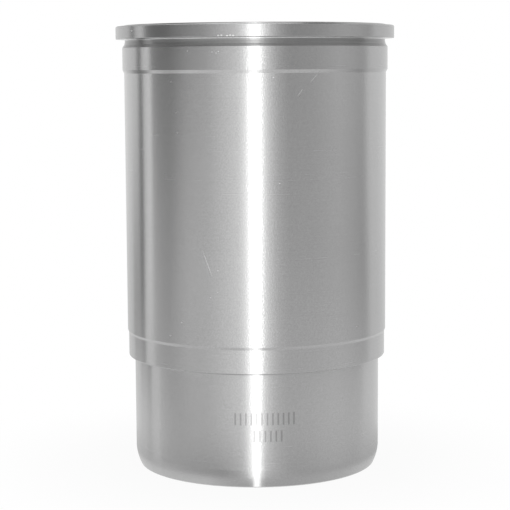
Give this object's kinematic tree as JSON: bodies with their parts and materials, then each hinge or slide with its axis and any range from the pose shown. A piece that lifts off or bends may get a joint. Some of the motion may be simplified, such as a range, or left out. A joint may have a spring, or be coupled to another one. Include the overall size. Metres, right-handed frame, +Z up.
{
  "type": "cylinder liner",
  "caption": "Wet cylinder liner for a diesel engine: a turned iron sleeve with a top flange, an upper pilot, a lower sealing band and a thinner skirt with a rounded lower end.",
  "frame": {"origin": "centre of the lower end face, on the bore axis", "axes": "+Z up along the bore axis towards the flange; X and Y are any two directions across it, because the part is round"},
  "size_m": [0.1288, 0.1288, 0.2051],
  "materials": {
    "turned_iron": "grey iron, fine-turned bright outside, honed bore"
  },
  "bodies": {
    "root": {"cylinder_liner": "turned_iron"}
  },
  "joints": []
}
